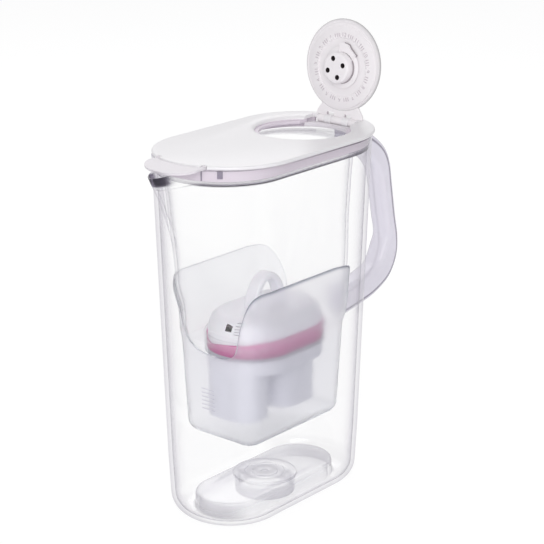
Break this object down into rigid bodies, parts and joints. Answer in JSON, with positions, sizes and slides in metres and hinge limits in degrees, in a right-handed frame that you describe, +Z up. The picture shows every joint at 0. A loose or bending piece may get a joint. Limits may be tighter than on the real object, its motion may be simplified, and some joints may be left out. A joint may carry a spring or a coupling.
{
  "type": "water filter pitcher",
  "caption": "Clear oval water filter pitcher with a loop handle, a clear hopper holding a filter cartridge, and a white lid with a flip-up refill cover and a spout flap",
  "frame": {"origin": "centre of the recess under the jug, on the plane that the foot ring stands on", "axes": "+X along the jug from the beak to the handle, +Y to the side away from the viewer, +Z up; the beak points to -X"},
  "size_m": [0.2469, 0.0964, 0.3129],
  "materials": {
    "clear_plastic": "clear moulded styrene copolymer, glossy",
    "clear_hopper": "clear moulded styrene copolymer, glossy",
    "frosted_plastic": "thin frosted polypropylene",
    "white_plastic": "moulded white, satin gloss",
    "white_polypropylene": "moulded white, semi-matt",
    "printed_ring": "fine matt moulded ring with raised ticks",
    "natural_polypropylene": "translucent natural polypropylene",
    "pink_seal": "soft pink elastomer, satin",
    "filter_granules": "mixed pale resin beads and dark carbon granules",
    "filter_mesh": "woven white polymer mesh",
    "steel_pin": "drawn stainless wire"
  },
  "bodies": {
    "jug": {"jug_body": "clear_plastic", "jug_handle": "clear_plastic"},
    "hopper": {"hopper_basin": "clear_hopper", "filter_chamber": "frosted_plastic"},
    "cartridge": {"cartridge_body": "white_polypropylene", "seal_ring": "pink_seal", "cartridge_cap": "natural_polypropylene", "pull_loop": "white_polypropylene", "inlet_screen": "filter_mesh", "media_front": "filter_granules", "media_rear": "filter_granules", "outlet_screens": "filter_mesh"},
    "lid": {"lid_cover": "white_plastic", "lid_frame": "white_plastic", "flip_hinge_pin": "steel_pin", "flap_pin": "steel_pin"},
    "flip_lid": {"flip_cover": "white_plastic", "number_ring": "printed_ring"},
    "dial": {"dial_knob": "white_plastic", "dial_retainer": "white_plastic"},
    "flap": {"spout_flap": "white_plastic"}
  },
  "joints": [
    {"name": "hopper_lift", "type": "slide", "parent": "jug", "child": "hopper", "axis": [0, 0, 1], "range_m": [0, 0.19]},
    {"name": "lid_lift", "type": "slide", "parent": "hopper", "child": "lid", "axis": [0, 0, 1], "range_m": [0, 0.05]},
    {"name": "cartridge_lift", "type": "slide", "parent": "hopper", "child": "cartridge", "axis": [0, 0, 1], "range_m": [0, 0.065]},
    {"name": "flip_lid_hinge", "type": "hinge", "parent": "lid", "child": "flip_lid", "pos_m": [0.0768, 0, 0.2445], "axis": [0, 1, 0], "range_deg": [-95.75, 0]},
    {"name": "dial_turn", "type": "hinge", "parent": "flip_lid", "child": "dial", "pos_m": [0.08218, 0, 0.28044], "axis": [0.995, 0, -0.1002], "continuous": true},
    {"name": "spout_flap_hinge", "type": "hinge", "parent": "lid", "child": "flap", "pos_m": [-0.0785, 0, 0.2464], "axis": [0, 1, 0], "range_deg": [0, 75]}
  ]
}
